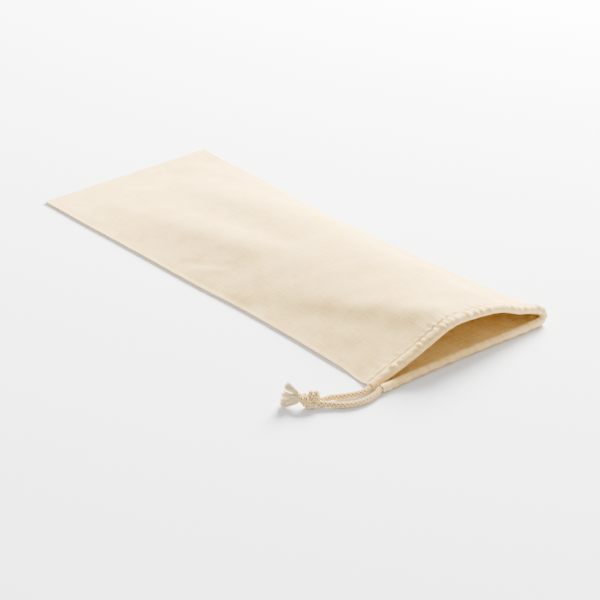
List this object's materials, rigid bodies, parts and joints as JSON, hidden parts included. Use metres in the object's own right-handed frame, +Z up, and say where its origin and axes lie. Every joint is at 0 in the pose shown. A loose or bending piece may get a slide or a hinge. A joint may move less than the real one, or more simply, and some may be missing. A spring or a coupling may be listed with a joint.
{
  "type": "drawstring bag",
  "caption": "Long cloth bag with a drawcord, lying flat and open at the mouth; the cord runs through both hems and ends in a knot with frayed ends.",
  "frame": {"origin": "middle of the bag's footprint, at the height of the surface it lies on; the free cord ends, knot and frayed ends are left out of the middle", "axes": "+X along the bag from the folded closed end to the mouth, +Y across it from the side where the cord comes out to the other side seam, +Z up"},
  "size_m": [0.6186, 0.3524, 0.0445],
  "materials": {
    "cloth": "undyed plain-weave cotton calico, matt, with small brown specks",
    "cord": "undyed braided cotton cord, matt"
  },
  "bodies": {
    "root": {"bag_cloth": "cloth", "drawcord_run": "cord", "cord_end_upper": "cord", "cord_end_lower": "cord", "knot": "cord", "frayed_ends": "cord"}
  },
  "joints": []
}
